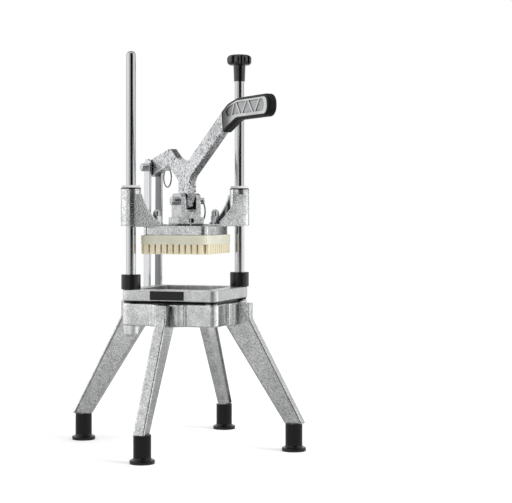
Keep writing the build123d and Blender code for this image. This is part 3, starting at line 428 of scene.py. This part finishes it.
# A bloom of 2 mm.
bloom_width = 0.002
bloom = add(wire, "ShaderNodeTexNoise", {
    "Vector": spot, "Scale": 1 / bloom_width, "Detail": 2.0}).outputs["Fac"]
tint = add(wire, "ShaderNodeValToRGB", {"Fac": bloom},
           stops=[(0.3, "#6f7072"), (0.7, "#98999b")])
surface = add(wire, "ShaderNodeBsdfPrincipled", {
    "Base Color": tint.outputs["Color"], "Metallic": 1.0, "Roughness": 0.25})
add(wire, "ShaderNodeOutputMaterial", {"Surface": surface.outputs["BSDF"]})
coat(wire, "clevis_pin_ring", "rear_pin_ring")


# Lever: one aluminium casting with the rear arm, the tongue and the long shaft. It comes
# from a coarser sand than the stand, and its specks stand out in near black and white.
# The true grain of 0.7 mm is too fine to show, so it is drawn at 1.6 mm.
coarse_grain = 0.0016
coarse_cast = cast_metal(
    "coarse_sand_cast_aluminium", grain_width=coarse_grain, depth=0.0006, shade_reach=0.003,
    specks=[(0.17, "#434446"), (0.27, "#b6b7b9"), (0.6, "#d3d4d5"), (0.85, "#f7f7f7")])
coat(coarse_cast, "lever")


# Grip: soft black rubber moulded over the lever's tang. A soft grade is matt and deep black,
# with a fine tooth that takes the shine off its rounded edges.
soft = new_material("soft_black_rubber")
spot = add(soft, "ShaderNodeTexCoord").outputs["Object"]
# A tooth of 0.9 mm, and palm wear of 15 mm that polishes it.
tooth_width = 0.0009
wear_width = 0.015
tooth = add(soft, "ShaderNodeTexNoise", {
    "Vector": spot, "Scale": 1 / tooth_width, "Detail": 2.0}).outputs["Fac"]
wear = add(soft, "ShaderNodeTexNoise", {
    "Vector": spot, "Scale": 1 / wear_width, "Detail": 2.0}).outputs["Fac"]
tint = add(soft, "ShaderNodeValToRGB", {"Fac": wear},
           stops=[(0.3, "#070708"), (0.7, "#0d0d0e")])
gloss = add(soft, "ShaderNodeMapRange", {
    "Value": wear, "From Min": 0.3, "From Max": 0.7, "To Min": 0.5, "To Max": 0.38})
relief = add(soft, "ShaderNodeBump", {"Height": tooth, "Strength": 0.2, "Distance": 0.0002})
surface = add(soft, "ShaderNodeBsdfPrincipled", {
    "Base Color": tint.outputs["Color"], "Roughness": gloss.outputs["Result"],
    "Specular IOR Level": 0.2, "Normal": relief.outputs["Normal"]})
add(soft, "ShaderNodeOutputMaterial", {"Surface": surface.outputs["BSDF"]})
coat(soft, "grip")


# Grip inlays: a grey ABS panel pressed into each side of the grip, with pockets between
# zigzag ribs. The ribs are tinted paler as a painted highlight, and painted shade darkens the
# pockets and the end that is next to the lever's shaft.
inlay = new_material("satin_grey_abs")
spot = add(inlay, "ShaderNodeTexCoord").outputs["Object"]
# A spark-eroded skin of 0.8 mm, and a handling cloud of 12 mm.
skin_width = 0.0008
cloud_width = 0.012
skin = add(inlay, "ShaderNodeTexNoise", {
    "Vector": spot, "Scale": 1 / skin_width, "Detail": 2.0}).outputs["Fac"]
cloud = add(inlay, "ShaderNodeTexNoise", {
    "Vector": spot, "Scale": 1 / cloud_width, "Detail": 2.0}).outputs["Fac"]
floor_tint = add(inlay, "ShaderNodeValToRGB", {"Fac": cloud},
                 stops=[(0.3, "#999a9b"), (0.7, "#ababad")])
rib_tint = add(inlay, "ShaderNodeValToRGB", {"Fac": cloud},
               stops=[(0.3, "#bcbdbe"), (0.7, "#cccdce")])
# Pocket floors lie 4.9 mm from the lever's middle plane, and the ribs' tops 6 mm.
across_lever = (math.sqrt(0.5), math.sqrt(0.5), 0.0)
across = add(inlay, "ShaderNodeVectorMath", {0: spot, 1: across_lever}, operation="DOT_PRODUCT")
depth = add(inlay, "ShaderNodeMath", {0: across.outputs["Value"]}, operation="ABSOLUTE")
# The ribs' tops get a paler tint, a painted highlight.
rib_highlight = add(inlay, "ShaderNodeMapRange", {
    "Value": depth.outputs["Value"], "From Min": 0.0051, "From Max": 0.0058})
tint = add(inlay, "ShaderNodeMix", {
    "Factor": rib_highlight.outputs["Result"],
    under: floor_tint.outputs["Color"], over: rib_tint.outputs["Color"]},
    data_type="RGBA")
# Painted shade darkens about 3 mm of each corner.
pocket_shade_reach = 0.003
reach = add(inlay, "ShaderNodeAmbientOcclusion", {"Distance": pocket_shade_reach}, samples=6)
pocket_shade = add(inlay, "ShaderNodeValToRGB", {"Fac": reach.outputs["AO"]},
            stops=[(0.3, "#3c3c3c"), (0.85, "#ffffff")])
# Painted shade also darkens the end at the lever's shaft and fades out along the lever,
# from 117 to 147 mm out from the middle of the stand.
along_lever = (math.sqrt(0.5), -math.sqrt(0.5), 0.0)
along = add(inlay, "ShaderNodeVectorMath", {0: spot, 1: along_lever}, operation="DOT_PRODUCT")
near = add(inlay, "ShaderNodeMapRange", {
    "Value": along.outputs["Value"], "From Min": 0.117, "From Max": 0.147})
painted_shade = add(inlay, "ShaderNodeValToRGB", {"Fac": near.outputs["Result"]},
            stops=[(0.0, "#2c2c2c"), (0.4, "#6a6a6a"), (1.0, "#ffffff")])
shade = tint.outputs[mixed]
for layer in (pocket_shade, painted_shade):
    darkened = add(inlay, "ShaderNodeMix", {
        "Factor": 1.0, under: shade, over: layer.outputs["Color"]},
        data_type="RGBA", blend_type="MULTIPLY")
    shade = darkened.outputs[mixed]
relief = add(inlay, "ShaderNodeBump", {"Height": skin, "Strength": 0.2, "Distance": 0.0002})
surface = add(inlay, "ShaderNodeBsdfPrincipled", {
    "Base Color": shade, "Roughness": 0.5, "Normal": relief.outputs["Normal"]})
add(inlay, "ShaderNodeOutputMaterial", {"Surface": surface.outputs["BSDF"]})
coat(inlay, "grip_inlays")


# Links: two flat steel bars from the lever's rear pin to the bolt in the base lug. Their outer
# faces are polished nearly white, with lines along the bars, and their inner faces are a dull
# grey, painted shade where the bars face each other.
polished = new_material("polished_steel_bar")
spot = add(polished, "ShaderNodeTexCoord").outputs["Object"]
# Polishing lines 0.7 mm wide and 60 mm long.
line_width = 0.0007
line_length = 0.06
turned = add(polished, "ShaderNodeMapping", {
    "Vector": spot, "Scale": (1 / line_width, 1 / line_width, 1 / line_length)})
lines = add(polished, "ShaderNodeTexNoise", {
    "Vector": turned.outputs["Vector"], "Scale": 1.0, "Detail": 2.0}).outputs["Fac"]
shine = add(polished, "ShaderNodeValToRGB", {"Fac": lines},
            stops=[(0.3, "#cfd0d2"), (0.7, "#e2e2e3")])
# The inner faces get a dark grey as painted shade.
inner_face_shade = add(polished, "ShaderNodeValToRGB", {"Fac": lines},
                stops=[(0.3, "#66686a"), (0.7, "#7f8183")])
# The inner faces lie 6.35 mm from the lever's middle plane.
across = add(polished, "ShaderNodeVectorMath", {0: spot, 1: across_lever}, operation="DOT_PRODUCT")
depth = add(polished, "ShaderNodeMath", {0: across.outputs["Value"]}, operation="ABSOLUTE")
outer = add(polished, "ShaderNodeMapRange", {
    "Value": depth.outputs["Value"], "From Min": 0.0065, "From Max": 0.0069})
tint = add(polished, "ShaderNodeMix", {
    "Factor": outer.outputs["Result"],
    under: inner_face_shade.outputs["Color"], over: shine.outputs["Color"]},
    data_type="RGBA")
gloss = add(polished, "ShaderNodeMapRange", {
    "Value": outer.outputs["Result"], "To Min": 0.38, "To Max": 0.22})
surface = add(polished, "ShaderNodeBsdfPrincipled", {
    "Base Color": tint.outputs[mixed], "Metallic": 1.0, "Roughness": gloss.outputs["Result"]})
add(polished, "ShaderNodeOutputMaterial", {"Surface": surface.outputs["BSDF"]})
coat(polished, "link_left", "link_right")
coat(zinc, "link_bolt", "link_nut")


# Stage: a white paper floor, and cloths that stand round the object or lie under it. Some are
# dark flags and some are lit as soft boxes, and only reflections show them, so that the
# bright metal has light and dark to reflect.
camera_heading = 18.445  # degrees that the camera is turned to the left from square on
object_offset = 2.8  # degrees from the camera's axis to the object's middle


def level_square(half, height):
    """Corners of a level square of this half width, in order round it."""
    return [(-half, -half, height), (half, -half, height),
            (half, half, height), (-half, half, height)]


def sheet_mesh(name, corners):
    """A flat sheet through four corners, given in order round it."""
    mesh = bpy.data.meshes.new(name)
    mesh.from_pydata([tuple(corner) for corner in corners], [], [(0, 1, 2, 3)])
    sheet = bpy.data.objects.new(name, mesh)
    bpy.context.scene.collection.objects.link(sheet)
    return sheet


def hide_from_eye(cloth, code, strength=1.0):
    """Dyes or lights a cloth one grey and leaves it in reflections only."""
    dye = new_material(cloth.name + "_dye")
    glow = add(dye, "ShaderNodeEmission", {"Color": linear(code), "Strength": strength})
    add(dye, "ShaderNodeOutputMaterial", {"Surface": glow.outputs["Emission"]})
    cloth.data.materials.append(dye)
    cloth.visible_camera = False
    cloth.visible_diffuse = False
    cloth.visible_shadow = False
    cloth.visible_transmission = False


def flag(name, degrees, distance, width, low, high, code, strength=1.0):
    """An upright cloth, so many degrees round from the camera to the right of the picture. Its
    middle is that direction times the distance, with half the width on each side of it. A
    strength over 1 lights it from behind."""
    turn = math.radians(-90 + camera_heading + object_offset + degrees)
    way = np.array([math.cos(turn), math.sin(turn), 0.0])
    aside = np.array([-way[1], way[0], 0.0]) * width / 2
    foot = np.array([0, 0, low])
    top = np.array([0, 0, high])
    middle = way * distance
    corners = [middle - aside + foot, middle + aside + foot,
               middle + aside + top, middle - aside + top]
    hide_from_eye(sheet_mesh(name, corners), code, strength)


floor = sheet_mesh("floor", level_square(half=6.0, height=0.0))
paper = new_material("white_paper")
matt = add(paper, "ShaderNodeBsdfPrincipled", {
    "Base Color": linear("#f7f7f7"), "Roughness": 0.9, "Specular IOR Level": 0.0,
    "Emission Color": linear("#ffffff"), "Emission Strength": 0.24})
add(paper, "ShaderNodeOutputMaterial", {"Surface": matt.outputs["BSDF"]})
floor.data.materials.append(paper)

flag("camera_side_flag", degrees=15.0, distance=3.0, width=3.35, low=0.0, high=5.0, code="#202020")
flag("left_soft_box", degrees=-88.0, distance=3.0, width=4.2, low=0.0, high=3.0,
     code="#ffffff", strength=1.65)
flag("right_soft_box", degrees=80.0, distance=3.0, width=2.4, low=0.0, high=3.0,
     code="#ffffff", strength=1.35)
flag("low_strip", degrees=102.0, distance=1.2, width=0.56, low=0.0, high=0.3,
     code="#ffffff", strength=2.3)
flag("right_flag", degrees=138.0, distance=3.2, width=1.7, low=0.0, high=3.0, code="#eeeeee")
flag("back_flag", degrees=170.0, distance=2.0, width=2.6, low=1.6, high=4.5, code="#707070")
table = sheet_mesh("table_flag", level_square(half=1.6, height=0.002))
hide_from_eye(table, "#c4c4c4")


# Surround: an even white room. The eye and the reflections see it pure white, and what it
# lights gets a little less than that, so that pale pieces keep their colour.
world = bpy.data.worlds.new("studio")
world.use_nodes = True
world.node_tree.nodes.clear()
path = add(world, "ShaderNodeLightPath")
seen = path.outputs["Is Camera Ray"]
for ray in ("Is Glossy Ray", "Is Transmission Ray"):
    either = add(world, "ShaderNodeMath", {0: seen, 1: path.outputs[ray]}, operation="MAXIMUM")
    seen = either.outputs["Value"]
strength = add(world, "ShaderNodeMapRange", {"Value": seen, "To Min": 0.82, "To Max": 1.0})
sky = add(world, "ShaderNodeBackground", {
    "Color": linear("#ffffff"), "Strength": strength.outputs["Result"]})
add(world, "ShaderNodeOutputWorld", {"Surface": sky.outputs["Background"]})
bpy.context.scene.world = world


# Lamps: a large soft key on the right and a weak fill on the front left, both aimed at the
# middle of the object. They leave no glint, since the cloths are what the metal reflects.
def lamp(name, place, size, power):
    """A square soft lamp that faces the object's middle and leaves no glint of itself. Its tilt
    and turn are the angles of the line from its place to that point."""
    middle = np.array([0.0, 0.0, 0.22])
    light = bpy.data.lights.new(name, "AREA")
    light.size = size
    light.energy = power
    body = bpy.data.objects.new(name, light)
    body.location = place
    way = middle - np.array(place)
    tilt = math.atan2(math.hypot(way[0], way[1]), -way[2])
    turn = math.atan2(way[1], way[0]) - math.pi / 2
    body.rotation_euler = (tilt, 0.0, turn)
    body.visible_glossy = False
    bpy.context.scene.collection.objects.link(body)


lamp("key_lamp", place=(2.0, -0.1, 1.6), size=1.1, power=26.0)
lamp("fill_lamp", place=(-1.3, -1.5, 1.9), size=1.2, power=3.0)


# Camera: a long lens at the photograph's place, held level. Its shift sets the object as high
# in the frame as the photograph has it.
eye = bpy.data.cameras.new("camera")
eye.sensor_fit = "HORIZONTAL"
eye.sensor_width = 36.0
eye.lens = 101.485
eye.shift_y = -0.0835
eye.clip_end = 30.0
camera = bpy.data.objects.new("camera", eye)
camera.location = (0.641168, -1.651866, 0.289184)
camera.rotation_euler = (math.radians(90), 0.0, math.radians(camera_heading))
bpy.context.scene.collection.objects.link(camera)
bpy.context.scene.camera = camera
bpy.context.scene.view_settings.view_transform = "Standard"
